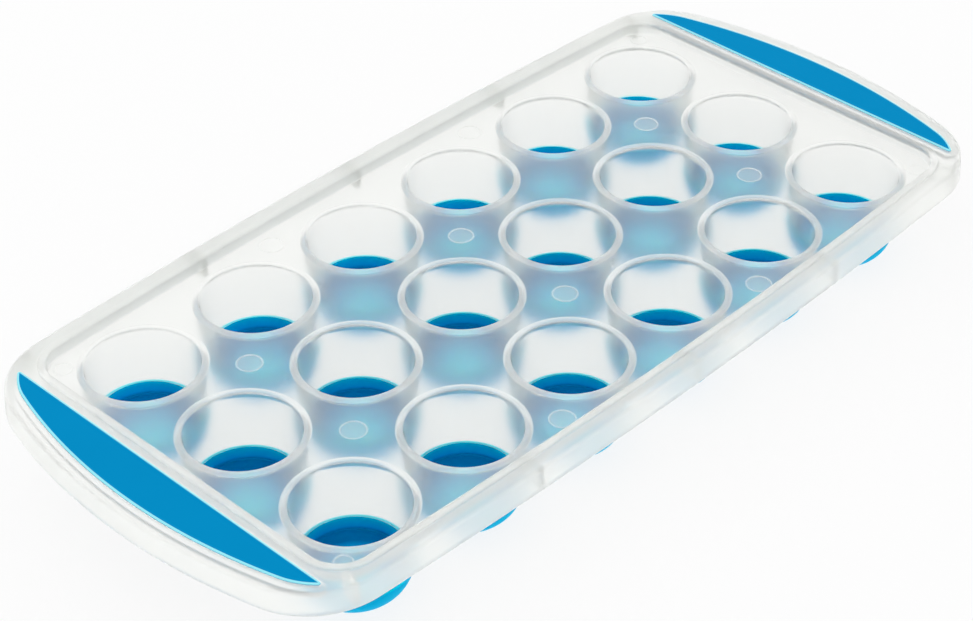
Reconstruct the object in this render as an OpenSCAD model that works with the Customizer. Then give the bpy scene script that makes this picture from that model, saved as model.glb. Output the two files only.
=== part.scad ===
// Ice cube tray: a rigid translucent frame of round cells, a soft push-out base
// under each cell, and a soft grip let into each end of the rim. Millimetres.

/* [Cells] */
// Number of cells along the tray
columns = 6; // [2:1:8]
// Number of cells across the tray
rows = 3; // [1:1:5]
// Inside diameter of a cell at its lip
mouth_d = 33.2; // [26:0.2:44]
// Gap between the mouths of neighbouring cells
cell_gap = 6.8; // [5.8:0.1:16]
// Inside diameter of a cell where its soft base begins
throat_d = 28.4; // [24:0.2:31]
// Depth from the lip to the soft base
tube_depth = 17.4; // [12:0.1:30]
// Wall of a cell's tube
tube_wall = 1.3; // [1.1:0.1:1.6]
// Width of the rounded lip round a cell
lip_w = 2.4; // [1.9:0.1:2.8]
// Height of the lip above the deck
lip_rise = 0.7; // [0.3:0.1:1.2]

/* [Soft bases] */
// Depth of a base below the tube that it closes
base_depth = 11; // [7:0.1:14]
// Wall of a base
base_wall = 1.8; // [1.4:0.1:2.4]
// Height of the straight band inside a base
base_band = 3.4; // [1:0.1:5]
// Width of the ledge below the band, where the floor of a base begins
base_ledge = 0.5; // [0.2:0.1:1]
// Height of the collar that laps over the end of the tube
base_lap = 0.5; // [0.4:0.1:3]
// Thickness of the tongue of the tube inside the collar
tongue_t = 0.7; // [0.5:0.05:0.9]
// How far the collar stands out from the tube
collar_proud = 0.3; // [0.2:0.1:1]
// Diameter of the flat foot that a base stands on
foot_d = 12; // [6:0.5:18]

/* [Tray outline] */
// From the last column's mouths to the tip of the end
end_margin = 27; // [25.6:0.1:33.4]
// From the outer row's mouths to the widest point of the side
side_margin = 11.8; // [10.6:0.1:17.4]
// How far the ends bow out over the whole width
end_bow = 13.4; // [9:0.1:16]
// How far the sides bow out over the whole length
side_bow = 4.6; // [2:0.1:7]
// Radius of the outer corners
corner_radius = 24.3; // [20:0.1:27]

/* [Deck and rim] */
// Thickness of the deck, the rim's top and the skirt
plate_t = 1.4; // [1:0.1:2]
// From the last column's mouths to the end of the sunken deck
deck_end = 4.7; // [3.9:0.1:5.6]
// Width of the rim along the sides, outside the sunken deck
rim_w = 7.1; // [6.5:0.1:8]
// Corner radius of the sunken deck
deck_corner_r = 9; // [5:0.5:14]
// Height of the rim's flat top above the deck
rim_rise = 3; // [2:0.1:5]
// Width of the raised ridge round the deck
ridge_w = 3.2; // [2.6:0.1:3.6]
// Height of the ridge above the rim's flat top
ridge_rise = 0.7; // [0.3:0.1:1.2]
// Height of the skirt, from the rim's flat top down
skirt_h = 7; // [5:0.1:10]
// How far the skirt flares outward over its height
skirt_flare = 0.4; // [0:0.1:1]
// Radius of the rim's rounded outer edge
edge_r = 1.1; // [0.6:0.1:1.3]
// Width of a bridge between the ridge and the skirt
bridge_w = 3.2; // [1.5:0.1:5]
// Direction of the bridge at each corner, from the length of the tray
bridge_angle = 73; // [60:1:80]

/* [Grips] */
// From the last column's mouths to a grip's straight edge
grip_start = 9.6; // [9.4:0.1:11.4]
// Rim left outside the middle of a grip
grip_margin = 4.4; // [4:0.1:5.5]
// Radius of a grip's outer edge toward its tips
grip_corner_r = 21; // [19:0.1:24]
// Where a grip's edge turns toward its tip, as a share of the way to the tray's corner
grip_turn = 1.06; // [1:0.01:1.1]
// Radius of a grip's two tips
grip_tip_r = 0.6; // [0.4:0.1:2]
// Depth of the pocket that a grip fills
grip_depth = 1.2; // [0.8:0.1:2]
// How far a grip stands above the rim
grip_proud = 0.35; // [0.2:0.05:0.6]

/* [Marks] */
// Diameter of the round ejector marks under the deck
mark_d = 8.8; // [6:0.2:9]
// Diameter of the marks in the corners of the deck
corner_mark_d = 7; // [5:0.2:7.4]
// Width of the thin ring round a mark
mark_w = 0.7; // [0.4:0.1:1.2]
// Depth of the ring below the deck
mark_drop = 0.25; // [0.1:0.05:0.5]
// From the outer row's mouths inward to the marks beside it
mark_in = 0.8; // [0.2:0.1:2]
// From the corner cells' mouths inward to the corner marks, along and across the tray
corner_mark_x = 0.1; // [0:0.1:0.6]
corner_mark_y = 1.7; // [1:0.1:2]

/* [Fit] */
// Bonding gap between a soft piece and the wall beside it
bond_gap = 0.05; // [0.02:0.01:0.15]

/* [Hidden] */
row_letters = "abcde";
$fn = 72;

// How far shapes that are joined run into each other
overlap = 0.3;
// Steps along a long arc, round a corner and round a small edge
arc_steps = 8;
corner_steps = 12;
edge_steps = 4;
// Steps down the bowl of a base
bowl_steps = 12;
// Steps along a grip's outer arc, its corner and its tip
grip_steps = [24, 10, 12];

// Radius of the fillet between a tube and the underside of the deck
fillet_r = 0.7;
// Narrowing of a base's straight band, inside and outside, and the height of the outer one
band_draft = 0.4;
collar_draft = 0.4;
collar_draft_h = 0.5;
// Chamfer over a collar's top edge, inward and down
collar_chamfer = [0.2, 0.3];
// Width of the slope from the deck up to the ridge, and the largest round on the ridge
ridge_step = 0.5;
ridge_r = 0.6;
// Slope on the outside of the ridge
ridge_slope = 0.4;
// Rise of a bridge's lower edge above the skirt's, and how far its inner end lies outside the deck
bridge_low = 0.6;
bridge_in = 0.9;
// Place of the side bridges, as a share of the way to the last column
bridge_share = 0.6;
// Rounds of a grip's top edge, each a share of its rise and of its draw inward
grip_rounds = [[0.4, 0], [0.8, 0.3], [1, 0.8]];

// Heights above the surface that the tray stands on
junction_z = base_depth;
lip_z = junction_z + tube_depth;
deck_z = lip_z - lip_rise;
rim_z = deck_z + rim_rise;
ridge_z = rim_z + ridge_rise;
skirt_z = rim_z - skirt_h;

// Plan sizes, with edge_x and edge_y at the outermost mouths
pitch = mouth_d + cell_gap;
last_x = (columns - 1) / 2 * pitch;
edge_x = last_x + mouth_d / 2;
edge_y = ((rows - 1) * pitch + mouth_d) / 2;
half_l = edge_x + end_margin;
half_w = edge_y + side_margin;
end_radius = (half_w * half_w + end_bow * end_bow) / (2 * end_bow);
side_radius = (half_l * half_l + side_bow * side_bow) / (2 * side_bow);
end_cx = half_l - end_radius;
side_cy = half_w - side_radius;

// Corner circle that touches both the end arc and the side arc from inside
corner_c = meet([end_cx, 0], end_radius - corner_radius, [0, side_cy], side_radius - corner_radius);
end_angle = atan2(corner_c[1], corner_c[0] - end_cx);
side_angle = atan2(corner_c[1] - side_cy, corner_c[0]);

// Corner circle of the deck, which touches the deck's straight end and its bowed side
deck_x = edge_x + deck_end;
deck_side_r = side_radius - rim_w;
deck_cx = deck_x - deck_corner_r;
deck_cy = side_cy + sqrt(pow(deck_side_r - deck_corner_r, 2) - pow(deck_cx, 2));
deck_angle = atan2(deck_cy - side_cy, deck_cx);

// Radii of a cell
mouth_r = mouth_d / 2;
throat_r = throat_d / 2;
lip_r = mouth_r + lip_w;
tongue_r = throat_r + tongue_t;
shoulder_r = bore_r(tube_depth - base_lap) + tube_wall;
collar_r = shoulder_r + collar_proud;

// Wall of the pocket round a grip
grip_wall = 0.85 * plate_t;

// Centres of a grip's outer edge toward its upper tip, and of that tip
grip_angle = grip_turn * end_angle;
grip_c = on([end_cx, 0], end_radius - grip_margin - grip_corner_r, grip_angle);
tip_angle = acos((edge_x + grip_start + grip_tip_r - grip_c[0]) / (grip_corner_r - grip_tip_r));
grip_tip = on(grip_c, grip_corner_r - grip_tip_r, tip_angle);

function base_name(c, r) = str("cell_base_", row_letters[r], c + 1);

// Centre of the cell in column c and row r, rows counted from the far side
function cell_at(c, r) = [(c - (columns - 1) / 2) * pitch, ((rows - 1) / 2 - r) * pitch];

// Inside radius of a cell's tube at a depth below the lip
function bore_r(depth) = mouth_r - (mouth_r - throat_r) * depth / tube_depth;

// Point at an angle on a circle
function on(c, r, a) = [c[0] + r * cos(a), c[1] + r * sin(a)];

// Points of an arc from angle a0 to a1 in n steps
function arc(c, r, a0, a1, n) = [for (i = [0:n]) on(c, r, a0 + (a1 - a0) * i / n)];

// Points of an arc that starts half a step past a mirror axis at angle a0, without the last
function from_axis(c, r, a0, a1, n) = [
    for (i = [0:n - 1]) on(c, r, a0 + (a1 - a0) * (2 * i + 1) / (2 * n + 1))
];

// Points of an arc that ends half a step short of a mirror axis at angle a1, without the first
function to_axis(c, r, a0, a1, n) = [
    for (i = [1:n]) on(c, r, a0 + (a1 - a0) * 2 * i / (2 * n + 1))
];

// Points of an arc from angle a0 to a1 in n steps, without the first
function to_tip(c, r, a0, a1, n) = [for (i = [1:n]) on(c, r, a0 + (a1 - a0) * i / n)];

// Quarter of an ellipse of height h, from its widest point down to its lowest
function bowl(r, h, z, r_end) = [
    for (i = [1:bowl_steps])
        let (a = 90 * i / bowl_steps)
        [r_end + (r - r_end) * cos(a), z - h * sin(a)]
];

// Upper right one of the two points at distance r1 from c1 and r2 from c2
function meet(c1, r1, c2, r2) =
    let (
        d = norm(c2 - c1),
        along = (r1 * r1 - r2 * r2 + d * d) / (2 * d),
        off = sqrt(r1 * r1 - along * along),
        u = (c2 - c1) / d,
        p = c1 + along * u,
        side = [-u[1], u[0]],
        a = p + off * side,
        b = p - off * side
    )
    a[0] + a[1] > b[0] + b[1] ? a : b;

// A quarter of a closed outline, taken round all four quarters
function all_round(q) = concat(
    q,
    [for (i = [len(q) - 1:-1:0]) [-q[i][0], q[i][1]]],
    [for (p = q) -p],
    [for (i = [len(q) - 1:-1:0]) [q[i][0], -q[i][1]]]
);

// Outline of the whole tray, drawn in by an inset
function tray_outline(inset) = all_round(concat(
    from_axis([end_cx, 0], end_radius - inset, 0, end_angle, arc_steps),
    arc(corner_c, corner_radius - inset, end_angle, side_angle, corner_steps),
    to_axis([0, side_cy], side_radius - inset, side_angle, 90, arc_steps)
));

// Outline of the sunken deck, drawn out by an outset
function deck_outline(outset) = all_round(concat(
    arc([deck_cx, deck_cy], deck_corner_r + outset, 0, deck_angle, corner_steps),
    to_axis([0, side_cy], deck_side_r + outset, deck_angle, 90, arc_steps)
));

// Crescent of a grip, drawn out by an outset
function grip_outline(outset) =
    let (
        upper = concat(
            from_axis([end_cx, 0], end_radius - grip_margin + outset, 0, grip_angle, grip_steps[0]),
            arc(grip_c, grip_corner_r + outset, grip_angle, tip_angle, grip_steps[1]),
            to_tip(grip_tip, max(grip_tip_r + outset, 0.1), tip_angle, 180, grip_steps[2])
        )
    )
    concat(upper, [for (i = [len(upper) - 1:-1:0]) [upper[i][0], -upper[i][1]]]);

// Half section of a cell's tube with its rounded lip, from the axis outward
function cell_section() =
    let (
        top_r = min(lip_rise, lip_w * 0.45),
        under_z = deck_z - plate_t,
        wall_r = bore_r(lip_rise + plate_t) + tube_wall
    )
    concat(
        [[throat_r, junction_z]],
        arc([mouth_r + top_r, lip_z - top_r], top_r, 180, 90, edge_steps),
        arc([lip_r - top_r, lip_z - top_r], top_r, 90, 0, edge_steps),
        [[lip_r, under_z]],
        arc([wall_r + fillet_r, under_z - fillet_r], fillet_r, 90, 180, edge_steps),
        [[shoulder_r, junction_z + base_lap], [tongue_r, junction_z + base_lap], [tongue_r, junction_z]]
    );

// Half section of a soft base: collar, straight band, ledge, bowl and flat foot
function base_section() =
    let (
        band_z = junction_z - base_band,
        band_r = throat_r - band_draft,
        out_r = collar_r - collar_draft,
        out_z = junction_z - collar_draft_h,
        lap_z = junction_z + base_lap,
        inner = bowl(band_r - base_ledge, band_z - base_wall, band_z, 0)
    )
    concat(
        [[0, base_wall]],
        [for (i = [bowl_steps - 2:-1:0]) inner[i]],
        [[band_r - base_ledge, band_z], [band_r, band_z]],
        [[throat_r, junction_z], [tongue_r + bond_gap, junction_z]],
        [[tongue_r + bond_gap, lap_z], [collar_r - collar_chamfer[0], lap_z]],
        [[collar_r, lap_z - collar_chamfer[1]], [collar_r, junction_z], [out_r, out_z]],
        bowl(out_r, out_z, out_z, foot_d / 2),
        [[0, 0]]
    );

// Section of the step and ridge between the deck and the rim's flat top.
// First value: distance outward from the deck's edge. Second value: height.
function ridge_section() =
    let (
        r = min(ridge_r, ridge_rise),
        in = ridge_step,
        out = ridge_w - ridge_slope,
        under_z = rim_z - plate_t
    )
    concat(
        [[-overlap, deck_z - plate_t], [-overlap, deck_z], [in, deck_z]],
        arc([in + r, ridge_z - r], r, 180, 90, edge_steps),
        arc([out - r, ridge_z - r], r, 90, 0, edge_steps),
        [[ridge_w, rim_z], [ridge_w, under_z], [in + plate_t, under_z], [in + plate_t, deck_z - plate_t]]
    );

// Section of the rim's rounded edge and the skirt.
// First value: distance inward from the outline. Second value: height.
function skirt_section() =
    let (reach = edge_r + plate_t)
    concat(
        arc([edge_r, rim_z - edge_r], edge_r, 90, 180, edge_steps + 2),
        [[-skirt_flare, skirt_z], [plate_t - skirt_flare, skirt_z]],
        [[plate_t, rim_z - plate_t], [reach, rim_z - plate_t], [reach, rim_z]]
    );

// Closed ring with the given section: each loop of points joins the next, and the last the first
module ring(loops) {
    n = len(loops[0]);
    k = len(loops);
    polyhedron(
        points = [for (l = loops) each l],
        faces = [
            for (j = [0:k - 1])
                for (i = [0:n - 1])
                    let (
                        a = j * n + i,
                        b = j * n + (i + 1) % n,
                        c = (j + 1) % k * n + (i + 1) % n,
                        d = (j + 1) % k * n + i
                    )
                    each [[a, b, c], [a, c, d]]
        ]
    );
}

// Repeats its child in all four quarters
module four_ways() {
    for (mx = [0, 1]) {
        for (my = [0, 1]) {
            mirror([mx, 0, 0])
                mirror([0, my, 0])
                    children();
        }
    }
}

// Rounded edge and skirt, carried round the whole outline
module skirt() {
    ring([for (p = skirt_section()) [for (q = tray_outline(p[0])) [q[0], q[1], p[1]]]]);
}

// Step and ridge, carried round the sunken deck
module ridge() {
    ring([for (p = ridge_section()) [for (q = deck_outline(p[0])) [q[0], q[1], p[1]]]]);
}

// Sunken deck with a hole for each cell
module deck() {
    difference() {
        translate([0, 0, deck_z - plate_t])
            linear_extrude(plate_t)
                polygon(deck_outline(0));
        for (r = [0:rows - 1]) {
            for (c = [0:columns - 1]) {
                translate([cell_at(c, r)[0], cell_at(c, r)[1], deck_z - 2 * plate_t])
                    cylinder(h = 3 * plate_t, r = lip_r - lip_w / 3);
            }
        }
    }
}

// Flat top of the rim, from the ridge to the rounded edge
module rim_top() {
    translate([0, 0, rim_z - plate_t])
        linear_extrude(plate_t)
            difference() {
                polygon(tray_outline(edge_r + plate_t - overlap));
                polygon(deck_outline(ridge_w - overlap));
            }
}

// Tubes of all the cells
module cell_tubes() {
    for (r = [0:rows - 1]) {
        for (c = [0:columns - 1]) {
            translate([cell_at(c, r)[0], cell_at(c, r)[1], 0])
                rotate_extrude()
                    polygon(cell_section());
        }
    }
}

// Upright web that ties the deck's edge to the skirt, from one inset to another
module bridge(from, to) {
    low = skirt_z + bridge_low;
    translate([from, -bridge_w / 2, low])
        cube([to - from, bridge_w, rim_z - plate_t / 2 - low]);
}

// Bridges along both sides and at the corners
module bridges() {
    for (k = [-1, 0, 1]) {
        x = k * last_x * bridge_share;
        y = side_cy + sqrt(pow(side_radius, 2) - pow(x, 2));
        for (s = [-1, 1]) {
            translate([x, s * y, 0])
                rotate([0, 0, s * 90])
                    bridge(bridge_in - rim_w, -plate_t / 2);
        }
    }
    four_ways()
        translate([corner_c[0], corner_c[1], 0])
            rotate([0, 0, bridge_angle])
                bridge(corner_radius - rim_w + bridge_in, corner_radius - plate_t / 2);
}

// Thicker crescent under each grip
module grip_seats() {
    for (mx = [0, 1]) {
        mirror([mx, 0, 0])
            translate([0, 0, rim_z - grip_depth - plate_t])
                linear_extrude(grip_depth + plate_t)
                    polygon(grip_outline(grip_wall));
    }
}

// Hollow that each grip fills
module grip_pockets() {
    for (mx = [0, 1]) {
        mirror([mx, 0, 0])
            translate([0, 0, rim_z - grip_depth])
                linear_extrude(grip_depth + 1)
                    polygon(grip_outline(bond_gap));
    }
}

// Thin ring of an ejector mark, hanging from the underside of the deck
module mark(x, y, d) {
    translate([x, y, deck_z - plate_t - mark_drop])
        difference() {
            cylinder(h = mark_drop + plate_t / 2, d = d, $fn = 40);
            translate([0, 0, -1])
                cylinder(h = plate_t + 2, d = d - 2 * mark_w, $fn = 40);
        }
}

// Marks between every second pair of columns, beside the outer rows and in the corners
module marks() {
    for (c = [0:2:columns - 2]) {
        for (r = [0:1:rows - 2]) {
            mark(cell_at(c, r)[0] + pitch / 2, cell_at(c, r)[1] - pitch / 2, mark_d);
        }
    }
    for (s = [-1, 1]) {
        for (c = [1:2:columns - 3]) {
            mark(cell_at(c, 0)[0] + pitch / 2, s * (edge_y - mark_in), mark_d);
        }
    }
    four_ways()
        mark(edge_x - corner_mark_x, edge_y - corner_mark_y, corner_mark_d);
}

module tray_frame() {
    color([0.92, 0.94, 0.92])
        difference() {
            union() {
                deck();
                cell_tubes();
                ridge();
                rim_top();
                skirt();
                bridges();
                grip_seats();
                marks();
            }
            grip_pockets();
        }
}

module cell_base(c, r) {
    color([0.0, 0.55, 0.78])
        translate([cell_at(c, r)[0], cell_at(c, r)[1], 0])
            rotate_extrude()
                polygon(base_section());
}

// Crescent of soft material with a stepped round over its top edge
module grip() {
    color([0.0, 0.55, 0.78])
        for (s = grip_rounds) {
            translate([0, 0, rim_z - grip_depth])
                linear_extrude(grip_depth + grip_proud * s[0])
                    polygon(grip_outline(-grip_proud * s[1]));
        }
}

module grip_left() {
    mirror([1, 0, 0])
        grip();
}

module grip_right() {
    grip();
}

tray_frame();
for (r = [0:rows - 1]) {
    for (c = [0:columns - 1]) {
        cell_base(c, r);
    }
}
grip_left();
grip_right();
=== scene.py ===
"""Ice cube tray: a frosted frame of round cells, soft push-out bases and a soft grip at each end.

Every length is in metres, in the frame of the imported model: X along the tray, Y across it, Z up.
"""

import logging
import math
from dataclasses import dataclass, replace
from enum import Enum, IntEnum

import bmesh
import bpy
import numpy as np
from mathutils import Matrix, Vector
from mathutils.geometry import delaunay_2d_cdt

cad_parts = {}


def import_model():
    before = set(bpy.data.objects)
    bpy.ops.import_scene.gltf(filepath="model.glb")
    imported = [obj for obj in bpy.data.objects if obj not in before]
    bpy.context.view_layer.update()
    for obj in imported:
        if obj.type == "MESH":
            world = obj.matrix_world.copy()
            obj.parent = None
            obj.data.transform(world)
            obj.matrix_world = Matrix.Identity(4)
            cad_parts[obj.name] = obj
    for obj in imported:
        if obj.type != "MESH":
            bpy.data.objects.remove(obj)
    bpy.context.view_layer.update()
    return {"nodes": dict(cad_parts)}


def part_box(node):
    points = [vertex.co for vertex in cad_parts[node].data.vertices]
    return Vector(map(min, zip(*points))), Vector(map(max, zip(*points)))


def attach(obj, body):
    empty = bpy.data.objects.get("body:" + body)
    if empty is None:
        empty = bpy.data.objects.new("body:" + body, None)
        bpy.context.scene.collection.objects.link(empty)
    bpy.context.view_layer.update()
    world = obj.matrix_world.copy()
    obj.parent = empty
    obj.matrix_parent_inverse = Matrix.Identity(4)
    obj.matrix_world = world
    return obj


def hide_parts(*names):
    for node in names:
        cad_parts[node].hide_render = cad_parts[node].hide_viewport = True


LOG = logging.getLogger("ice_tray")

MM = 0.001
WELD = 0.002 * MM
BODY = "root"
FRAME_NODE = "tray_frame"
BASE_NODES = "cell_base_"
# Attribute of a base's points that places its painted glow and painted shade.
PLACE = "painted_light_place"

Point = tuple[float, float]
Range = tuple[float, float]
Colour = tuple[float, float, float]
Materials = list[bpy.types.Material]


class Slot(Enum):
    """The record's material slots."""

    FROSTED = "frosted_plastic"
    BASE = "soft_base"
    GRIP = "soft_grip"


class Side(Enum):
    """The two ends of the tray, as the sign of their X."""

    LEFT = -1
    RIGHT = 1


class FrameSkin(IntEnum):
    """The frame's finishes, numbered in the order of its materials."""

    CLEAR = 0
    HAZY = 1
    MARKED = 2


class GripSkin(IntEnum):
    """A grip's finishes, numbered in the order of its materials."""

    TOP = 0
    # Painted highlight: the rounded top edge is painted paler where it catches light, partly standing for
    # its thin translucent lip.
    EDGE = 1


class Place(Enum):
    """Values of the places of a base, from outside to the middle of its floor; they pick where the base's
    painted glow and painted shade fall.
    """

    OUTSIDE = 0.0
    BAND_TOP = 0.2
    BAND_LOW = 0.45
    LEDGE = 0.55
    FLOOR = 1.0


def arc(centre: Point, radius: float, start: float, end: float, steps: int) -> np.ndarray:
    """Points of a circular arc: the centre plus the radius times (cos, sin) of evenly spaced angles.

    Args:
        centre: Centre of the circle.
        radius: Its radius.
        start: First angle, in radians.
        end: Last angle, in radians.
        steps: Number of steps between them.

    Returns:
        An array of steps + 1 points.
    """
    angle = np.linspace(start, end, steps + 1)
    return np.stack([centre[0] + radius * np.cos(angle), centre[1] + radius * np.sin(angle)], axis=1)


def quarter(corner: Point, radius: float, start_deg: float, end_deg: float, steps: int) -> np.ndarray:
    """A small round of a section, as arc() with its angles in degrees.

    Args:
        corner: Centre of the round.
        radius: Its radius.
        start_deg: First angle.
        end_deg: Last angle.
        steps: Number of steps.

    Returns:
        An array of steps + 1 points.
    """
    return arc(corner, radius, math.radians(start_deg), math.radians(end_deg), steps)


def straight(start: Point, end: Point, steps: int) -> np.ndarray:
    """Evenly spaced points strictly between two others.

    Args:
        start: The point before the first.
        end: The point after the last.
        steps: Number of steps from start to end.

    Returns:
        An array of steps - 1 points: start plus i / steps of the way to end.
    """
    share = np.arange(1, steps)[:, None] / steps
    return np.asarray(start) + share * (np.asarray(end) - np.asarray(start))


def mirrored_round(quadrant: np.ndarray) -> np.ndarray:
    """A closed outline from its first quadrant, mirrored in both axes and taken round anticlockwise.

    Args:
        quadrant: Points with x and y above 0, from near the X axis to near the Y axis.

    Returns:
        Four times as many points.
    """
    back = quadrant[::-1]
    return np.concatenate([quadrant, back * (-1, 1), quadrant * (-1, -1), back * (1, -1)])


def crossing(c1: np.ndarray, r1: float, c2: np.ndarray, r2: float) -> np.ndarray:
    """The upper right point at distance r1 from c1 and r2 from c2.

    Args:
        c1: First centre.
        r1: Distance from it.
        c2: Second centre.
        r2: Distance from it.

    Returns:
        The point.
    """
    gap = c2 - c1
    d = np.hypot(*gap)
    along = (r1 * r1 - r2 * r2 + d * d) / (2 * d)
    off = math.sqrt(r1 * r1 - along * along)
    unit = gap / d
    foot = c1 + along * unit
    side = np.array([-unit[1], unit[0]])
    return max((foot + off * side, foot - off * side), key=lambda p: p[0] + p[1])


@dataclass(frozen=True)
class TraySizes:
    """Sizes of the moulding that both the frame and what fits in it share.

    half_l and half_w reach to the outline above the skirt's flare, and last is the farthest cell's centre.
    joint_fall is how much lower a tube's end lies outside than inside. deck_end and grip_start count from
    the outermost lips, and grip_turn tells where a grip's outer arc ends, as a share of the end arc.
    """

    half_l: float
    half_w: float
    lip_z: float
    junction_z: float
    last: Point
    pitch: float
    mouth_r: float = 15.6 * MM
    throat_r: float = 13.8 * MM
    tube_wall: float = 1.3 * MM
    joint_fall: float = 0.8 * MM
    plate: float = 1.4 * MM
    lip_w: float = 2.2 * MM
    lip_rise: float = 0.7 * MM
    rim_rise: float = 3 * MM
    ridge_rise: float = 0.7 * MM
    ridge_w: float = 3.2 * MM
    rim_w: float = 7.1 * MM
    skirt_h: float = 7 * MM
    flare: float = 0.4 * MM
    edge_r: float = 1.1 * MM
    end_bow: float = 13.4 * MM
    side_bow: float = 4.6 * MM
    corner_radius: float = 24.3 * MM
    deck_end: float = 3.5 * MM
    deck_corner_r: float = 9 * MM
    grip_start: float = 8.4 * MM
    grip_margin: float = 4.4 * MM
    grip_corner_r: float = 21 * MM
    grip_turn: float = 1.06
    grip_tip_r: float = 0.6 * MM
    grip_depth: float = 1.2 * MM
    grip_proud: float = 0.35 * MM

    @property
    def deck_z(self) -> float:
        """Height of the deck's top."""
        return self.lip_z - self.lip_rise

    @property
    def rim_z(self) -> float:
        """Height of the rim's flat top."""
        return self.deck_z + self.rim_rise

    @property
    def ridge_z(self) -> float:
        """Height of the ridge, the highest line of the tray."""
        return self.rim_z + self.ridge_rise

    @property
    def skirt_z(self) -> float:
        """Height of the skirt's lower edge."""
        return self.rim_z - self.skirt_h

    @property
    def edge(self) -> Point:
        """Farthest X and Y of the outermost lips."""
        lip_r = self.mouth_r + self.lip_w
        return (self.last[0] + lip_r, self.last[1] + lip_r)

    @property
    def end_radius(self) -> float:
        """Radius of the ends, which bow out by end_bow over the whole width."""
        return (self.half_w**2 + self.end_bow**2) / (2 * self.end_bow)

    @property
    def side_radius(self) -> float:
        """Radius of the sides, which bow out by side_bow over the whole length."""
        return (self.half_l**2 + self.side_bow**2) / (2 * self.side_bow)

    def bore(self, z: float) -> float:
        """Inside radius of a cell's tube at a height, which narrows evenly from the lip to the joint."""
        share = (self.lip_z - z) / (self.lip_z - self.junction_z)
        return self.mouth_r - (self.mouth_r - self.throat_r) * share


@dataclass
class Outlines:
    """Plan outlines of the tray, all worked out from the same arcs."""

    sizes: TraySizes
    long_steps: int = 20
    corner_steps: int = 18

    def __post_init__(self) -> None:
        """Finds the centres of the end, side, corner and deck arcs."""
        s = self.sizes
        self.end_c = np.array([s.half_l - s.end_radius, 0.0])
        self.side_c = np.array([0.0, s.half_w - s.side_radius])
        self.corner = crossing(
            self.end_c, s.end_radius - s.corner_radius, self.side_c, s.side_radius - s.corner_radius
        )
        self.end_angle = math.atan2(self.corner[1], self.corner[0] - self.end_c[0])
        self.side_angle = math.atan2(self.corner[1] - self.side_c[1], self.corner[0])
        self.deck_side_r = s.side_radius - s.rim_w
        x = s.edge[0] + s.deck_end - s.deck_corner_r
        y = self.side_c[1] + math.sqrt((self.deck_side_r - s.deck_corner_r) ** 2 - x * x)
        self.deck_corner = np.array([x, y])
        self.deck_angle = math.atan2(y - self.side_c[1], x)

    def tray(self, inset: float) -> np.ndarray:
        """Outline of the whole tray: end arc, corner arc and side arc in turn, mirrored round.

        Args:
            inset: How far the outline is drawn in.

        Returns:
            A closed loop of points.
        """
        s, half_pi = self.sizes, math.pi / 2
        n = 2 * self.long_steps + 1
        end = arc(self.end_c, s.end_radius - inset, self.end_angle / n, self.end_angle, self.long_steps)
        turn = (self.end_angle, self.side_angle)
        corner = arc(self.corner, s.corner_radius - inset, *turn, self.corner_steps)
        last = half_pi - (half_pi - self.side_angle) / n
        side = arc(self.side_c, s.side_radius - inset, self.side_angle, last, self.long_steps)
        return mirrored_round(np.concatenate([end, corner[1:-1], side]))

    def deck(self, outset: float) -> np.ndarray:
        """Outline of the sunken deck: straight end, corner arc and side arc, mirrored round.

        Args:
            outset: How far the outline is drawn out.

        Returns:
            A closed loop of points.
        """
        s, half_pi = self.sizes, math.pi / 2
        n = 2 * self.long_steps + 1
        corner = arc(self.deck_corner, s.deck_corner_r + outset, 0, self.deck_angle, self.corner_steps)
        last = half_pi - (half_pi - self.deck_angle) / n
        side = arc(self.side_c, self.deck_side_r + outset, self.deck_angle, last, self.long_steps)
        return mirrored_round(np.concatenate([corner[:-1], side]))

    def grip(self, outset: float, side: Side) -> np.ndarray:
        """Crescent of a grip: outer arc, corner arc, tip and straight edge.

        Args:
            outset: How far the outline is drawn out.
            side: End of the tray that the grip lies at.

        Returns:
            A closed loop of points.
        """
        s = self.sizes
        turn = s.grip_turn * self.end_angle
        reach = s.end_radius - s.grip_margin
        towards = np.array([math.cos(turn), math.sin(turn)])
        corner = self.end_c + (reach - s.grip_corner_r) * towards
        off = s.grip_corner_r - s.grip_tip_r
        tip_angle = math.acos((s.edge[0] + s.grip_start + s.grip_tip_r - corner[0]) / off)
        tip = corner + off * np.array([math.cos(tip_angle), math.sin(tip_angle)])
        n = 2 * self.long_steps + 1
        upper = np.concatenate([
            arc(self.end_c, reach + outset, turn / n, turn, self.long_steps),
            arc(corner, s.grip_corner_r + outset, turn, tip_angle, self.corner_steps)[1:-1],
            arc(tip, s.grip_tip_r + outset, tip_angle, math.pi, self.corner_steps),
        ])
        loop = np.concatenate([upper, upper[::-1] * (1, -1)])
        return loop if side is Side.RIGHT else loop[::-1] * (-1, 1)


def ring(centre: Point, radius: float, steps: int) -> np.ndarray:
    """A closed circle of points, anticlockwise."""
    return arc(centre, radius, 0, 2 * math.pi, steps)[:-1]


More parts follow.
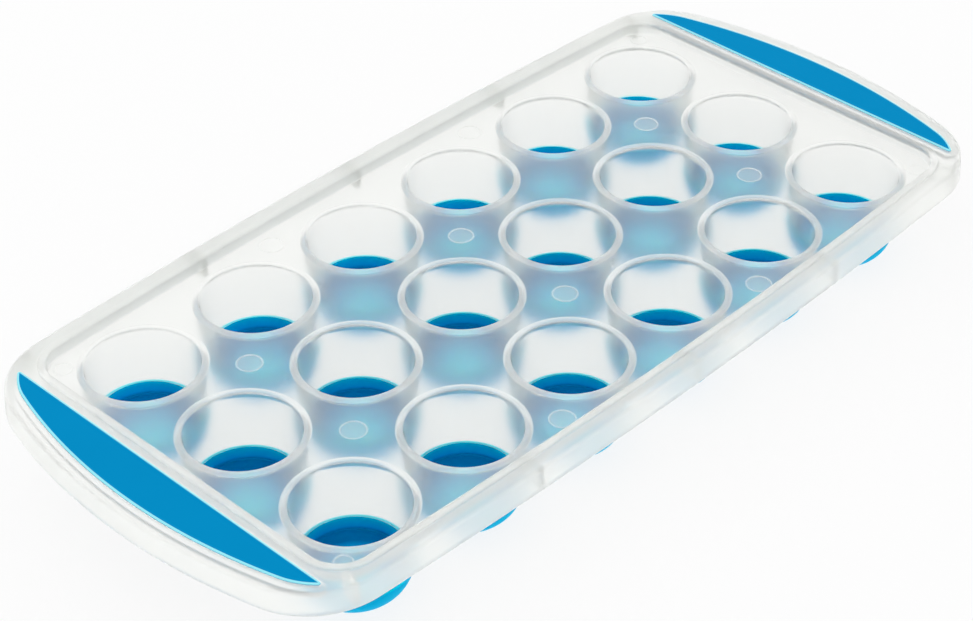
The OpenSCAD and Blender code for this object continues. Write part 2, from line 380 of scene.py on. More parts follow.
class Shell:
    """Gathers swept walls and flat caps, and welds them into one closed mesh.

    whole_hull asks a cap's Delaunay mesh for every triangle between its points, and cap_weld is the
    distance within which that mesh merges them.
    """

    whole_hull: int = 0
    cap_weld: float = WELD / 10

    def __init__(self) -> None:
        """Starts with no points and no faces."""
        self.points: list[np.ndarray] = []
        self.faces: list[list[int]] = []
        self.finishes: list[np.ndarray] = []
        self.count = 0

    def _add(self, points: np.ndarray, faces: np.ndarray, finish: np.ndarray) -> None:
        """Adds one surface.

        Args:
            points: Its points.
            faces: Its faces, as the numbers of those points.
            finish: Number of each face's finish.
        """
        self.points.append(points)
        self.faces.extend((faces + self.count).tolist())
        self.finishes.append(finish)
        self.count += len(points)

    def wall(self, loops: list[np.ndarray], heights: np.ndarray, finish: int | np.ndarray = 0) -> None:
        """A surface of two parameters: loop i holds the plan points at height i, and each meets the next.

        Args:
            loops: Closed loops with the same number of points.
            heights: One height for each loop.
            finish: Number of the finish, or one for each band between two loops.
        """
        rows, columns = len(loops), len(loops[0])
        level = np.repeat(np.asarray(heights, float)[:, None], columns, axis=1)
        grid = np.concatenate([np.stack(loops), level[:, :, None]], axis=2)
        index = np.arange(rows * columns).reshape(rows, columns)
        after = np.roll(index, -1, axis=1)
        quads = np.stack([index[:-1], after[:-1], after[1:], index[1:]], axis=-1)
        bands = np.broadcast_to(finish, rows - 1)
        self._add(grid.reshape(-1, 3), quads.reshape(-1, 4), np.repeat(bands, columns))

    def lathe(self, centre: Point, section: np.ndarray, steps: int, finish: int | np.ndarray = 0) -> None:
        """A wall whose loops are circles: the section's first value is a radius, its second a height."""
        self.wall([ring(centre, r, steps) for r in section[:, 0]], section[:, 1], finish)

    def cap(self, loops: list[np.ndarray], height: float, finish: int = 0) -> None:
        """A flat surface between closed loops: a triangle of their Delaunay mesh belongs to it when a ray
        from its middle crosses the loops an odd number of times.

        Args:
            loops: Outer and inner edges, in any order.
            height: Height of the surface.
            finish: Number of its finish.
        """
        points = np.concatenate(loops)
        ends = np.cumsum([0] + [len(loop) for loop in loops])
        edges = np.concatenate([
            np.stack([np.arange(a, b), np.roll(np.arange(a, b), -1)], axis=1)
            for a, b in zip(ends, ends[1:])
        ])
        corners = [Vector(p) for p in points]
        made = delaunay_2d_cdt(corners, edges.tolist(), [], self.whole_hull, self.cap_weld)
        plan = np.array([tuple(v) for v in made[0]])
        triangles = np.array(made[2])
        middle = plan[triangles].mean(axis=1)
        a, b = points[edges[:, 0]], points[edges[:, 1]]
        above = (a[None, :, 1] > middle[:, 1, None]) != (b[None, :, 1] > middle[:, 1, None])
        rise = np.where(a[:, 1] == b[:, 1], 1.0, b[:, 1] - a[:, 1])
        meet = a[None, :, 0] + (middle[:, 1, None] - a[None, :, 1]) * ((b - a)[:, 0] / rise)[None, :]
        inside = (above & (meet > middle[:, 0, None])).sum(axis=1) % 2 == 1
        flat = np.column_stack([plan, np.full(len(plan), height)])
        self._add(flat, triangles[inside], np.full(inside.sum(), finish))

    def make(self, name: str, materials: Materials, sharp_deg: float = 32) -> bpy.types.Object:
        """Welds the gathered surfaces, points their faces outward and makes the piece.

        Args:
            name: Name of the piece.
            materials: Its finishes, in the order of their numbers.
            sharp_deg: Angle between faces from which an edge stays sharp.

        Returns:
            The new object, which rides on the tray's body.
        """
        mesh = bpy.data.meshes.new(name)
        mesh.from_pydata(np.concatenate(self.points).tolist(), [], self.faces)
        mesh.polygons.foreach_set("material_index", np.concatenate(self.finishes))
        work = bmesh.new()
        work.from_mesh(mesh)
        bmesh.ops.remove_doubles(work, verts=work.verts, dist=WELD)
        loose = [v for v in work.verts if not v.link_faces]
        bmesh.ops.delete(work, geom=loose, context="VERTS")
        bmesh.ops.recalc_face_normals(work, faces=work.faces)
        open_edges = sum(1 for e in work.edges if len(e.link_faces) != 2)
        work.to_mesh(mesh)
        work.free()
        mesh.shade_smooth()
        mesh.set_sharp_from_angle(angle=math.radians(sharp_deg))
        for material in materials:
            mesh.materials.append(material)
        piece = bpy.data.objects.new(name, mesh)
        bpy.context.scene.collection.objects.link(piece)
        weighted = piece.modifiers.new("flat_faces_stay_flat", "WEIGHTED_NORMAL")
        weighted.keep_sharp = True
        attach(piece, BODY)
        LOG.info("%s: %d faces, %d edges not shared by two", name, len(mesh.polygons), open_edges)
        return piece


@dataclass(frozen=True)
class Finish:
    """A procedural finish on one Principled shader, with a faint cloud in its colour and a fine skin."""

    name: str
    colour: Colour
    shade: Colour
    roughness: Range
    cloud_scale: float
    grain_scale: float
    grain_height: float
    cloud_detail: float = 3

    def material(self) -> bpy.types.Material:
        """Makes the material.

        Returns:
            A new material: noise mixes colour with shade and varies the roughness, and a finer noise is
            the bump of the moulded skin.
        """
        made = bpy.data.materials.new(self.name)
        made.use_nodes = True
        nodes, links = made.node_tree.nodes, made.node_tree.links
        shader = nodes["Principled BSDF"]
        where = nodes.new("ShaderNodeTexCoord")

        cloud = nodes.new("ShaderNodeTexNoise")
        cloud.inputs["Scale"].default_value = self.cloud_scale
        cloud.inputs["Detail"].default_value = self.cloud_detail
        links.new(where.outputs["Object"], cloud.inputs["Vector"])

        tint = nodes.new("ShaderNodeMix")
        tint.data_type = "RGBA"
        tint.inputs["A"].default_value = (*self.colour, 1)
        tint.inputs["B"].default_value = (*self.shade, 1)
        links.new(cloud.outputs["Fac"], tint.inputs["Factor"])
        links.new(tint.outputs["Result"], shader.inputs["Base Color"])

        rough = nodes.new("ShaderNodeMapRange")
        rough.inputs["To Min"].default_value = self.roughness[0]
        rough.inputs["To Max"].default_value = self.roughness[1]
        links.new(cloud.outputs["Fac"], rough.inputs["Value"])
        links.new(rough.outputs["Result"], shader.inputs["Roughness"])

        grain = nodes.new("ShaderNodeTexNoise")
        grain.inputs["Scale"].default_value = self.grain_scale
        links.new(where.outputs["Object"], grain.inputs["Vector"])
        bump = nodes.new("ShaderNodeBump")
        bump.inputs["Distance"].default_value = self.grain_height
        bump.inputs["Strength"].default_value = 1
        links.new(grain.outputs["Fac"], bump.inputs["Height"])
        links.new(bump.outputs["Normal"], shader.inputs["Normal"])
        self.dress(shader)
        return made

    def dress(self, shader: bpy.types.Node) -> None:
        """Sets what is the same all over the finish."""


@dataclass(frozen=True)
class FrostedPlastic(Finish):
    """Thin translucent plastic: part of the light goes through, a little blurred, and the rest scatters."""

    clarity: float = 0.92
    ior: float = 1.2

    def dress(self, shader: bpy.types.Node) -> None:
        """Lets light through."""
        shader.inputs["Transmission Weight"].default_value = self.clarity
        shader.inputs["IOR"].default_value = self.ior


@dataclass(frozen=True)
class SoftRubber(Finish):
    """Smooth soft rubber with hardly any shine."""

    shine: float = 0.01

    def dress(self, shader: bpy.types.Node) -> None:
        """Keeps the shine low."""
        shader.inputs["Specular IOR Level"].default_value = self.shine


@dataclass(frozen=True)
class PaintedGlowRubber(SoftRubber):
    """Soft rubber that light soaks through, with light and shade painted into its colour inside: a painted
    glow down the thin band, painted shade at the thick ledge and a painted glow on the floor.
    """

    # Painted light inside the base: the band's glow, brighter at its top, painted shade at the ledge, and
    # the floor's glow of light coming through from below.
    band_top: Colour = (0.0, 0.32, 0.5)
    band_low: Colour = (0.0, 0.18, 0.38)
    ledge: Colour = (0.0, 0.115, 0.23)
    floor: Colour = (0.0, 0.72, 0.98)
    soak: float = 12 * MM
    soak_colour: Colour = (0.3, 0.7, 1.0)

    def dress(self, shader: bpy.types.Node) -> None:
        """Scatters light inside, and paints light and shade into the colour by the piece's own values: the
        plain tint outside, a painted glow down the band, painted shade at the ledge and a painted glow on
        the floor.

        Args:
            shader: The finish's Principled shader.
        """
        super().dress(shader)
        shader.inputs["Subsurface Weight"].default_value = 1
        shader.inputs["Subsurface Radius"].default_value = self.soak_colour
        shader.inputs["Subsurface Scale"].default_value = self.soak
        tree = shader.id_data
        tint = shader.inputs["Base Color"].links[0].from_socket
        place = tree.nodes.new("ShaderNodeAttribute")
        place.attribute_name = PLACE
        # Ramp of painted light: glow at the band's top, painted shade at the ledge, glow on the floor.
        ramp = tree.nodes.new("ShaderNodeValToRGB")
        stops = ramp.color_ramp.elements
        stops[0].position, stops[0].color = Place.BAND_TOP.value, (*self.band_top, 1)
        stops[1].position, stops[1].color = Place.FLOOR.value, (*self.floor, 1)
        for where, colour in ((Place.BAND_LOW, self.band_low), (Place.LEDGE, self.ledge)):
            stops.new(where.value).color = (*colour, 1)
        inside = tree.nodes.new("ShaderNodeMath")
        inside.operation = "GREATER_THAN"
        inside.inputs[1].default_value = (Place.OUTSIDE.value + Place.BAND_TOP.value) / 2
        mixed = tree.nodes.new("ShaderNodeMix")
        mixed.data_type = "RGBA"
        tree.links.new(place.outputs["Fac"], ramp.inputs["Fac"])
        tree.links.new(place.outputs["Fac"], inside.inputs[0])
        tree.links.new(inside.outputs["Value"], mixed.inputs["Factor"])
        tree.links.new(tint, mixed.inputs["A"])
        tree.links.new(ramp.outputs["Color"], mixed.inputs["B"])
        tree.links.new(mixed.outputs["Result"], shader.inputs["Base Color"])


@dataclass
class FrameMoulding:
    """The rigid frame: rim, ridge, deck, lipped tubes, webs and grip seats as one closed shell.

    mark_in and corner_mark count inward from the outermost lips. seat_wall is how far the plastic goes
    out round a grip, and bond the gap between the grip and its pocket. web_in shortens the webs, web_low
    lifts them, and web_share and web_angle place those of the sides and the corners.
    """

    sizes: TraySizes
    outlines: Outlines
    cells: list[Point]
    round_steps: int = 5
    skirt_steps: int = 4
    bore_steps: int = 5
    tube_steps: int = 6
    around: int = 80
    mark_r: float = 3.8 * MM
    corner_mark_r: float = 2.8 * MM
    mark_w: float = 0.6 * MM
    mark_rise: float = 0.15 * MM
    mark_in: float = 2.0 * MM
    corner_mark: Point = (2.2 * MM, 3.8 * MM)
    mark_steps: int = 6
    mark_around: int = 40
    inner_fillet: float = 0.4 * MM
    under_fillet: float = 0.7 * MM
    lip_h: float = 0.45 * MM
    lip_slope: float = 1.3 * MM
    hem_r: float = 0.35 * MM
    step: float = 0.5 * MM
    ridge_r: float = 0.6 * MM
    ridge_slope: float = 0.4 * MM
    web_w: float = 1.8 * MM
    web_low: float = 0.6 * MM
    web_in: float = 0.9 * MM
    web_share: float = 0.6
    web_angle: float = math.radians(73)
    seat_wall: float = 1.19 * MM
    bond: float = 0.05 * MM

    def marks(self) -> list[tuple[float, float, float]]:
        """Places the ejector marks on the deck: between every second pair of columns, beside the outer rows
        and in the corners.

        Returns:
            X, Y and radius of each mark.
        """
        pitch, (edge_x, edge_y) = self.sizes.pitch, self.sizes.edge
        inner = [(2 * k * pitch, t * pitch / 2, self.mark_r) for k in (-1, 0, 1) for t in (-1, 1)]
        beside = [(k * pitch, t * (edge_y - self.mark_in), self.mark_r) for k in (-1, 1) for t in (-1, 1)]
        x, y = edge_x - self.corner_mark[0], edge_y - self.corner_mark[1]
        corner = [(k * x, t * y, self.corner_mark_r) for k in (-1, 1) for t in (-1, 1)]
        return inner + beside + corner

    def skirt_section(self) -> np.ndarray:
        """Rounded edge, flared skirt and its hem.

        Returns:
            Rows of distance inward from the outline, and height.
        """
        s, h, f = self.sizes, self.hem_r, self.inner_fillet
        inner = s.plate
        outer_low, inner_low = (-s.flare, s.skirt_z + h), (inner - s.flare, s.skirt_z + h)
        under = s.rim_z - s.plate
        return np.concatenate([
            quarter((s.edge_r, s.rim_z - s.edge_r), s.edge_r, 90, 180, 2 * self.round_steps),
            straight((0, s.rim_z - s.edge_r), outer_low, self.skirt_steps),
            quarter((h - s.flare, s.skirt_z + h), h, 180, 270, self.round_steps),
            quarter((inner - s.flare - h, s.skirt_z + h), h, -90, 0, self.round_steps),
            straight(inner_low, (inner, under - f), self.skirt_steps),
            quarter((inner + f, under - f), f, 180, 90, self.round_steps),
        ])

    def ridge_top(self) -> np.ndarray:
        """Upper side of the step and ridge.

        Returns:
            Rows of distance outward from the deck's edge, and height.
        """
        s, f, r = self.sizes, self.inner_fillet, self.ridge_r
        out = s.ridge_w - self.ridge_slope
        return np.concatenate([
            quarter((self.step - f, s.deck_z + f), f, -90, 0, self.round_steps),
            quarter((self.step + r, s.ridge_z - r), r, 180, 90, self.round_steps),
            quarter((out - r, s.ridge_z - r), r, 90, 0, self.round_steps),
            [(s.ridge_w, s.rim_z), (s.ridge_w + self.step / 2, s.rim_z)],
        ])

    def ridge_under(self) -> np.ndarray:
        """Lower side of the step.

        Returns:
            Rows of distance outward from the deck's edge, and height.
        """
        s, f = self.sizes, self.inner_fillet
        edge = self.step + s.plate
        low, high = s.deck_z - s.plate, s.rim_z - s.plate
        return np.concatenate([
            quarter((edge - f, low + f), f, -90, 0, self.round_steps),
            quarter((edge + f, high - f), f, 180, 90, self.round_steps),
        ])

    def cell_section(self) -> np.ndarray:
        """A cell from the deck's top over its lip, down the bore, along its sloped end and up outside. The
        lip's outer slope is half a wave of a cosine.

        Returns:
            Rows of radius from the cell's axis, and height.
        """
        s, f = self.sizes, self.under_fillet
        lip_r, t = s.mouth_r + s.lip_w, self.lip_h
        slope = np.linspace(0, 1, 2 * self.round_steps + 1)
        outer = np.stack([
            lip_r - self.lip_slope * slope, s.deck_z + t * (1 - np.cos(math.pi * slope)) / 2
        ], axis=1)
        under = s.deck_z - s.plate
        wall_r = s.bore(under) + s.tube_wall
        end = (s.throat_r + s.tube_wall, s.junction_z - s.joint_fall)
        return np.concatenate([
            outer,
            quarter((s.mouth_r + t, s.deck_z), t, 90, 180, self.round_steps + 1),
            straight((s.mouth_r, s.deck_z), (s.throat_r, s.junction_z), self.bore_steps),
            [(s.throat_r, s.junction_z), end],
            straight(end, (wall_r, under - f), self.tube_steps),
            quarter((wall_r + f, under - f), f, 180, 90, self.round_steps),
        ])

    def mark_section(self, radius: float) -> np.ndarray:
        """A low ring on the deck, half an ellipse over its width.

        Args:
            radius: Its outer radius.

        Returns:
            Rows of radius from the mark's axis, and height.
        """
        s = self.sizes
        angle = np.linspace(0, math.pi, self.mark_steps + 1)
        return np.stack([
            radius - self.mark_w / 2 + self.mark_w / 2 * np.cos(angle),
            s.deck_z + self.mark_rise * np.sin(angle),
        ], axis=1)

    def add_web(self, shell: Shell, origin: Point, angle: float, start: float, end: float) -> None:
        """An upright web under the rim, a box from start to end along a direction from an origin.

        Args:
            shell: Shell that takes it.
            origin: Point that the distances count from.
            angle: Direction, in radians.
            start: Distance to its inner end.
            end: Distance to its outer end.
        """
        s = self.sizes
        along = np.array([math.cos(angle), math.sin(angle)])
        across = np.array([-along[1], along[0]]) * self.web_w / 2
        corners = np.array([
            origin + along * d + across * k for d, k in ((start, -1), (end, -1), (end, 1), (start, 1))
        ])
        low, high = s.skirt_z + self.web_low, s.rim_z - s.plate / 2
        shell.wall([corners, corners], [low, high])
        shell.cap([corners], low)
        shell.cap([corners], high)

    def webs(self, shell: Shell) -> None:
        """Adds the webs along both sides and at the four corners.

        Args:
            shell: Shell that takes them.
        """
        s, lines = self.sizes, self.outlines
        depth = s.rim_w - self.web_in
        for x in np.array([-1, 0, 1]) * s.last[0] * self.web_share:
            y = lines.side_c[1] + math.sqrt(s.side_radius**2 - x * x)
            for t in (-1, 1):
                self.add_web(shell, (x, t * y), t * math.pi / 2, -depth, -s.plate / 2)
        for sx in (-1, 1):
            for sy in (-1, 1):
                corner = lines.corner * (sx, sy)
                angle = math.atan2(sy * math.sin(self.web_angle), sx * math.cos(self.web_angle))
                self.add_web(shell, corner, angle, s.corner_radius - depth, s.corner_radius - s.plate / 2)

    def build(self, materials: Materials) -> bpy.types.Object:
        """Builds the whole frame. The skirt, rim, ridge, lips and marks are hazier.

        Args:
            materials: Its finishes, in the order of FrameSkin.

        Returns:
            The finished piece.
        """
        s, lines = self.sizes, self.outlines
        shell = Shell()
        under_z, low_z = s.rim_z - s.plate, s.deck_z - s.plate

        skirt = self.skirt_section()
        shell.wall([lines.tray(d) for d in skirt[:, 0]], skirt[:, 1], FrameSkin.HAZY)
        ridge, step = self.ridge_top(), self.ridge_under()
        shell.wall([lines.deck(d) for d in ridge[:, 0]], ridge[:, 1], FrameSkin.HAZY)
        shell.wall([lines.deck(d) for d in step[:, 0]], step[:, 1])

        pockets = [lines.grip(self.bond, side) for side in Side]
        seats = [lines.grip(self.seat_wall, side) for side in Side]
        floor_z = s.rim_z - s.grip_depth
        for pocket, seat in zip(pockets, seats):
            shell.wall([pocket, pocket], [s.rim_z, floor_z])
            shell.cap([pocket], floor_z)
            shell.wall([seat, seat], [under_z, floor_z - s.plate])
            shell.cap([seat], floor_z - s.plate)
        shell.cap([lines.tray(skirt[0, 0]), lines.deck(ridge[-1, 0]), *pockets], s.rim_z, FrameSkin.HAZY)
        shell.cap([lines.tray(skirt[-1, 0]), lines.deck(step[-1, 0]), *seats], under_z)

        cell = self.cell_section()
        top = [ring(c, cell[0, 0], self.around) for c in self.cells]
        below = [ring(c, cell[-1, 0], self.around) for c in self.cells]
        middle = (cell[1:] + cell[:-1]) / 2
        skin = np.where(middle[:, 1] > s.deck_z, FrameSkin.HAZY, FrameSkin.CLEAR)
        for centre in self.cells:
            shell.lathe(centre, cell, self.around, skin)
        for x, y, radius in self.marks():
            mark = self.mark_section(radius)
            shell.lathe((x, y), mark, self.mark_around, FrameSkin.HAZY)
            shell.cap([ring((x, y), mark[-1, 0], self.mark_around)], s.deck_z, FrameSkin.MARKED)
            top.append(ring((x, y), radius, self.mark_around))
        shell.cap([lines.deck(ridge[0, 0]), *top], s.deck_z)
        shell.cap([lines.deck(step[0, 0]), *below], low_z)
        self.webs(shell)

        piece = shell.make("frosted_frame", materials)
        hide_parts(FRAME_NODE)
        return piece


@dataclass
class CellBase:
    """One soft push-out base: a collar at the tube's end, a thin band, a bowl and a flat foot.

    slit is the gap at the joint, and ledge_from the angle in degrees at which the ledge's round starts. The
    share of painted shade is the part of the bowl's depth that keeps the ledge's painted shade, before the
    floor's painted glow.
    """

    sizes: TraySizes
    outer_r: float
    wall: float = 1.8 * MM
    band: float = 3.4 * MM
    band_draft: float = 0.4 * MM
    ledge: float = 0.5 * MM
    collar_draft: float = 0.4 * MM
    collar_h: float = 0.5 * MM
    edge_r: float = 0.2 * MM
    slit: float = 0.02 * MM
    # Share of the bowl's depth that keeps the ledge's painted shade.
    painted_shade_share: float = 0.45
    foot_r: float = 6 * MM
    bowl_steps: int = 14
    band_steps: int = 4
    edge_steps: int = 4
    ledge_steps: int = 3
    ledge_from: float = -60
    around: int = 80

    def section(self) -> np.ndarray:
        """From the middle of the inside up the bowl, over the collar and down outside to the foot. Both
        bowls are quarters of ellipses.

        Returns:
            Rows of radius from the base's axis, and height.
        """
        s, e = self.sizes, self.edge_r
        joint = s.junction_z - self.slit
        end_z = joint - s.joint_fall
        band_z = joint - self.band
        band_r = s.throat_r - self.band_draft
        round_r = self.ledge / 2
        bowl_r, bowl_z = band_r - self.ledge, band_z - round_r
        low_r, low_z = self.outer_r - self.collar_draft, end_z - self.collar_h
        angle = np.linspace(0, math.pi / 2, self.bowl_steps + 1)
        fall = (bowl_z - self.wall) * np.sin(angle)
        inner = np.stack([bowl_r * np.cos(angle), bowl_z - fall], axis=1)[::-1]
        outer = np.stack([
            self.foot_r + (low_r - self.foot_r) * np.cos(angle),
            low_z - low_z * np.sin(angle),
        ], axis=1)
        return np.concatenate([
            inner,
            quarter((band_r - round_r, band_z), round_r, self.ledge_from, 0, self.ledge_steps),
            straight((band_r, band_z), (s.throat_r, joint), self.band_steps),
            [(s.throat_r, joint), (s.throat_r + s.tube_wall, end_z)],
            quarter((self.outer_r - e, end_z - e), e, 90, 0, self.edge_steps),
            outer,
            [(0.0, 0.0)],
        ])

    def build(self, name: str, centre: Point, material: bpy.types.Material) -> bpy.types.Object:
        """Builds the base of one cell.

        Args:
            name: Name of the CAD node that it stands for.
            centre: Centre of the cell.
            material: Its finish.

        Returns:
            The finished piece.
        """
        shell = Shell()
        shell.lathe(centre, self.section(), self.around)
        piece = shell.make(name.replace("cell", "soft"), [material])
        self.mark_painted_light_places(piece.data, centre)
        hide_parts(name)
        return piece

    def mark_painted_light_places(self, mesh: bpy.types.Mesh, centre: Point) -> None:
        """Writes the place of each point, which picks its painted light: outside, down the band (painted
        glow), at the ledge (painted shade) or on the floor (painted glow).

        Args:
            mesh: Mesh of the base.
            centre: Centre of the cell.
        """
        s = self.sizes
        points = np.empty(3 * len(mesh.vertices))
        mesh.vertices.foreach_get("co", points)
        x, y, z = points.reshape(-1, 3).T
        radius = np.hypot(x - centre[0], y - centre[1])
        band_z = s.junction_z - self.band
        deep = np.clip((band_z - z) / (band_z - self.wall), 0, 1)
        bowl = (s.throat_r - self.band_draft) * np.sqrt(1 - deep**2)
        on_floor = (z < band_z + WELD) & (z > self.wall - WELD) & (radius < bowl + self.ledge)
        on_band = (z >= band_z) & (radius < s.throat_r + WELD) & ~on_floor
        down = np.clip((s.junction_z - z) / self.band, 0, 1)
        # Painted shade at the ledge fades into the floor's painted glow; the band's painted glow dims
        # downward.
        dark, bright = Place.LEDGE.value, Place.FLOOR.value
        floor = np.interp(deep, [0, self.painted_shade_share, 1], [dark, dark, bright])
        band = np.interp(down, [0, 1], [Place.BAND_TOP.value, Place.BAND_LOW.value])
        place = np.where(on_floor, floor, np.where(on_band, band, Place.OUTSIDE.value))
        mesh.attributes.new(PLACE, "FLOAT", "POINT").data.foreach_set("value", place)


@dataclass
class Grip:
    """A crescent of soft rubber with a rounded top edge, let into the rim at one end; the edge is painted
    paler as a highlight where it catches light, and partly for its thin translucent lip.
    """

    sizes: TraySizes
    outlines: Outlines
    side: Side
    edge_r: float = 0.3 * MM
    edge_w: float = 0.58 * MM
    edge_steps: int = 5

    def build(self, name: str, materials: Materials) -> bpy.types.Object:
        """Builds the grip: its outline carried up the pocket's wall, over a quarter round and inward.

        Args:
            name: Name of the CAD node that it stands for.
            materials: Its finishes, in the order of GripSkin.

        Returns:
            The finished piece.
        """
        s = self.sizes
        low, high = s.rim_z - s.grip_depth, s.rim_z + s.grip_proud
        edge = quarter((-self.edge_r, high - self.edge_r), self.edge_r, 0, 90, self.edge_steps)
        section = np.concatenate([[(0.0, low)], edge, [(-self.edge_w, high)]])
        loops = [self.outlines.grip(d, self.side) for d in section[:, 0]]
        # The round and the strip inward of it take the paler painted highlight.
        skin = np.where(section[:-1, 1] > low, GripSkin.EDGE, GripSkin.TOP)
        shell = Shell()
        shell.wall(loops, section[:, 1], skin)
        shell.cap([loops[0]], low)
        shell.cap([loops[-1]], high)
        piece = shell.make(f"soft_{name}", materials)
        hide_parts(name)
        return piece


@dataclass
class Studio:
    """Pale floor, soft light and the camera, placed where the photograph was taken from.

    table is the strength of the floor's own light on the tray. table_share and white_share are the shares
    that such light has in what the tray gets and in what the camera sees.
    """

    camera_at: tuple[float, float, float] = (-0.394, -0.375, 0.4247)
    camera_turn: tuple[float, float, float] = (2.0740, -0.8855, 0.4286)
    focal_px: float = 2411.6
    image_w: int = 973
    sensor: float = 36
    clip: Range = (0.01, 50)
    floor_half: float = 6
    floor_gap: float = 0.02 * MM
    pale: Colour = (0.9, 0.9, 0.9)
    table: float = 1.4
    table_share: float = 0.8
    white_share: float = 0.85
    sky: float = 0.92
    softbox_w: float = 5
    softbox_size: float = 1.6
    softbox_at: tuple[float, float, float] = (-0.5, 0.9, 1.6)

    def camera(self) -> None:
        """Puts the camera where the cells of the photograph place it. The turn is a rotation vector that
        takes the tray's axes to right, down and forward in the picture."""
        data = bpy.data.cameras.new("camera")
        data.sensor_width = self.sensor
        data.lens = self.focal_px / self.image_w * self.sensor
        data.clip_start, data.clip_end = self.clip
        eye = bpy.data.objects.new("camera", data)
        bpy.context.scene.collection.objects.link(eye)
        turn = Vector(self.camera_turn)
        seen = Matrix.Rotation(turn.length, 3, turn.normalized())
        axes = Matrix((seen[0], -seen[1], -seen[2])).transposed()
        eye.matrix_world = Matrix.Translation(self.camera_at) @ axes.to_4x4()
        bpy.context.scene.camera = eye

    def floor(self) -> None:
        """A wide pale floor under the feet, lit from below like a table for product pictures. The camera
        and reflections see it plain white, with the tray's shadow on it."""
        half, z = self.floor_half, -self.floor_gap
        mesh = bpy.data.meshes.new("floor")
        corners = [(x * half, y * half, z) for x, y in ((-1, -1), (1, -1), (1, 1), (-1, 1))]
        mesh.from_pydata(corners, [], [(0, 1, 2, 3)])
        pale = bpy.data.materials.new("pale_floor")
        pale.use_nodes = True
        nodes, links = pale.node_tree.nodes, pale.node_tree.links
        nodes.clear()
        out = nodes.new("ShaderNodeOutputMaterial")
        matt = nodes.new("ShaderNodeBsdfDiffuse")
        matt.inputs["Color"].default_value = (*self.pale, 1)

        def lit(strength: float, share: float) -> bpy.types.Node:
            """Mixes the matt floor with its own light.

            Args:
                strength: Strength of that light.
                share: Share that it has.

            Returns:
                The node that mixes them.
            """
            light, mixed = nodes.new("ShaderNodeEmission"), nodes.new("ShaderNodeMixShader")
            light.inputs["Strength"].default_value = strength
            mixed.inputs["Fac"].default_value = share
            links.new(matt.outputs["BSDF"], mixed.inputs[1])
            links.new(light.outputs["Emission"], mixed.inputs[2])
            return mixed

        path = nodes.new("ShaderNodeLightPath")
        seen = nodes.new("ShaderNodeMath")
        seen.operation = "MAXIMUM"
        links.new(path.outputs["Is Camera Ray"], seen.inputs[0])
        links.new(path.outputs["Is Transmission Ray"], seen.inputs[1])
        white = nodes.new("ShaderNodeMath")
        white.operation = "MAXIMUM"
        links.new(seen.outputs["Value"], white.inputs[0])
        links.new(path.outputs["Is Glossy Ray"], white.inputs[1])
        pick = nodes.new("ShaderNodeMixShader")
        links.new(white.outputs["Value"], pick.inputs["Fac"])
        links.new(lit(self.table, self.table_share).outputs["Shader"], pick.inputs[1])
        links.new(lit(1, self.white_share).outputs["Shader"], pick.inputs[2])
        links.new(pick.outputs["Shader"], out.inputs["Surface"])
        mesh.materials.append(pale)
        plane = bpy.data.objects.new("floor", mesh)
        bpy.context.scene.collection.objects.link(plane)

    def light(self) -> None:
        """An even white sky and one large soft lamp above the far side."""
        world = bpy.data.worlds.new("studio")
        bpy.context.scene.world = world
        world.use_nodes = True
        background = world.node_tree.nodes["Background"]
        background.inputs["Color"].default_value = (1, 1, 1, 1)
        background.inputs["Strength"].default_value = self.sky
        data = bpy.data.lights.new("softbox", "AREA")
        data.energy = self.softbox_w
        data.size = self.softbox_size
        lamp = bpy.data.objects.new("softbox", data)
        lamp.location = self.softbox_at
        lamp.rotation_mode = "QUATERNION"
        lamp.rotation_quaternion = Vector(self.softbox_at).to_track_quat("Z", "Y")
        bpy.context.scene.collection.objects.link(lamp)

    def build(self) -> None:
        """Sets up the floor, the light, the camera and the colour."""
        self.floor()
        self.light()
        self.camera()
        bpy.context.scene.view_settings.view_transform = "Standard"


def node_middle(node: str) -> Point:
    """Plan centre of a CAD node's box."""
    low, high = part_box(node)
    return ((low.x + high.x) / 2, (low.y + high.y) / 2)


def tray_sizes(centres: np.ndarray) -> TraySizes:
    """Reads the sizes that the CAD boxes tell: the tray's outline, the heights and the cells' spread.

    Args:
        centres: Plan centres of the cells, one to a row.

    Returns:
        The sizes. Cells of a column have the same X to a tenth of a millimetre.
    """
    low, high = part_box(FRAME_NODE)
    flare, highest = TraySizes.flare, TraySizes.rim_rise + TraySizes.ridge_rise - TraySizes.lip_rise
    columns = len(np.unique(centres[:, 0].round(decimals=4)))
    last_x, last_y = centres.max(axis=0)
    return TraySizes(
        half_l=high.x - flare,
        half_w=high.y - flare,
        lip_z=high.z - highest,
        junction_z=low.z,
        last=(last_x, last_y),
        pitch=2 * last_x / (columns - 1),
    )


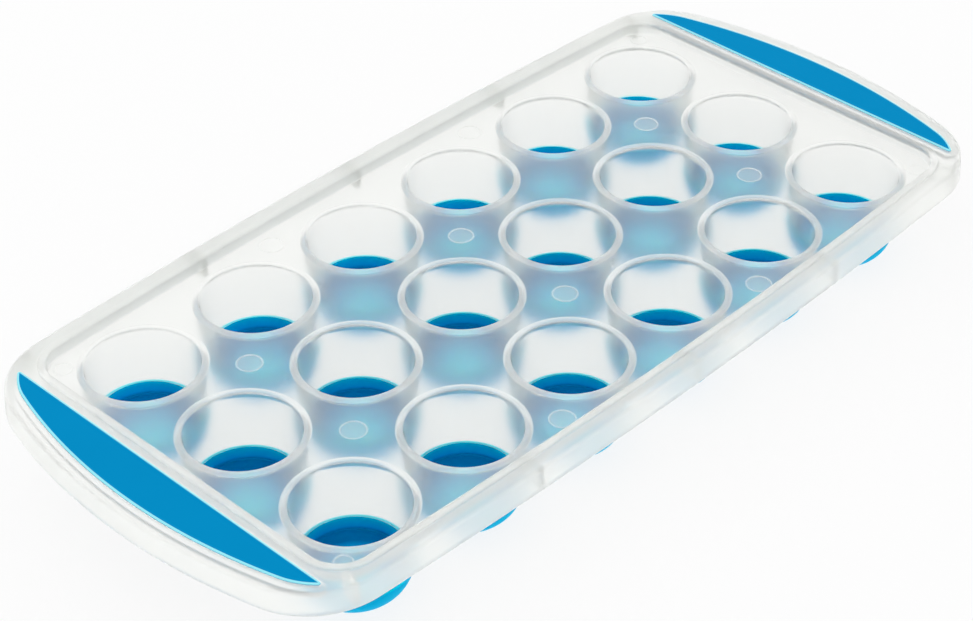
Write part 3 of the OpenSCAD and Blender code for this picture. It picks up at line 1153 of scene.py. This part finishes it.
def main() -> None:
    """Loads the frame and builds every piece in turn."""
    logging.basicConfig(level=logging.INFO, format="%(name)s: %(message)s")
    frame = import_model()
    cells = {n: node_middle(n) for n in sorted(frame["nodes"]) if n.startswith(BASE_NODES)}
    sizes = tray_sizes(np.array(list(cells.values())))
    outlines = Outlines(sizes)

    frosted = FrostedPlastic(
        name="frosted_plastic", colour=(0.988, 0.994, 0.975), shade=(0.98, 0.988, 0.967),
        roughness=(0.32, 0.36), cloud_scale=60, grain_scale=1500, grain_height=0.004 * MM,
    )
    hazy = replace(frosted, name="hazy_plastic", roughness=(0.38, 0.44), clarity=0.6)
    marked = replace(frosted, name="marked_plastic", roughness=(0.38, 0.44), clarity=0.8)
    # Blue rubber of the bases, with painted glow and painted shade inside them.
    base_blue = PaintedGlowRubber(
        name="blue_base_rubber_painted_glow", colour=(0.0, 0.3, 0.5), shade=(0.0, 0.288, 0.482),
        roughness=(0.42, 0.5), cloud_scale=90, grain_scale=2500, grain_height=0.01 * MM,
    ).material()
    grip_blue = SoftRubber(
        name="blue_grip_rubber", colour=(0.0, 0.265, 0.56), shade=(0.0, 0.253, 0.535),
        roughness=(0.45, 0.55), cloud_scale=70, grain_scale=2500, grain_height=0.01 * MM,
    )
    # Paler copy of the grip rubber for the rounded edge: a painted highlight, partly the edge's thin
    # translucent lip.
    grip_edge_highlight = replace(
        grip_blue, name="painted_highlight_grip_edge", colour=(0.34, 0.86, 0.97), shade=(0.31, 0.82, 0.93)
    )

    frame_finishes = [frosted.material(), hazy.material(), marked.material()]
    FrameMoulding(sizes, outlines, list(cells.values())).build(frame_finishes)
    base_low, base_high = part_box(next(iter(cells)))
    base = CellBase(sizes, outer_r=(base_high.x - base_low.x) / 2)
    for node, centre in cells.items():
        base.build(node, centre, base_blue)
    grip_finishes = [grip_blue.material(), grip_edge_highlight.material()]
    for side in Side:
        Grip(sizes, outlines, side).build(f"grip_{side.name.lower()}", grip_finishes)
    Studio().build()


if __name__ == "__main__":
    main()
